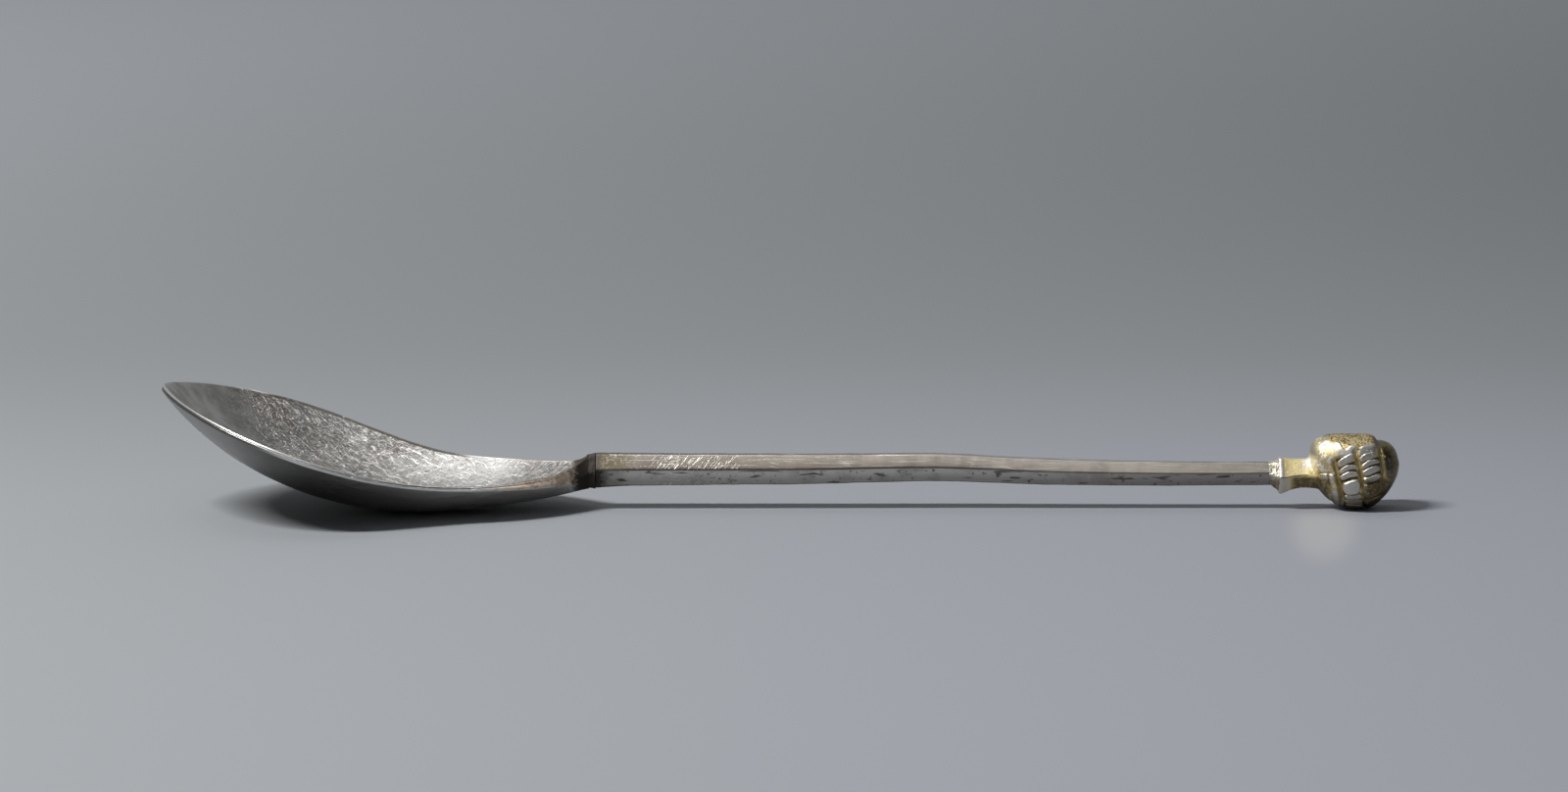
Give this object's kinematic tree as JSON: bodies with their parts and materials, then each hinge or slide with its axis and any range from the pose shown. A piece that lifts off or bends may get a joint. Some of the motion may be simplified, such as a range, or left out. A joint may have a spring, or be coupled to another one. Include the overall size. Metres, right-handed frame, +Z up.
{
  "type": "silver spoon",
  "caption": "Old table spoon in worn silver: a fig-shaped bowl on a slim six-sided stem that ends in a carved, partly gilded knop.",
  "frame": {"origin": "centre of the small worn flat under the bowl, on the table that the spoon lies on", "axes": "+X from the tip of the bowl to the knop, +Z up from the table, +Y away from the viewer of the picture"},
  "size_m": [0.16, 0.0404, 0.0163],
  "materials": {
    "bowl_silver": "worn, scratched silver",
    "stem_silver": "worn silver with file marks",
    "gilt_silver": "silver with worn gilding in the carving",
    "solder": "dull, dirty solder"
  },
  "bodies": {
    "root": {"bowl": "bowl_silver", "stem": "stem_silver", "finial": "gilt_silver", "bowl_solder": "solder", "finial_solder": "solder"}
  },
  "joints": []
}
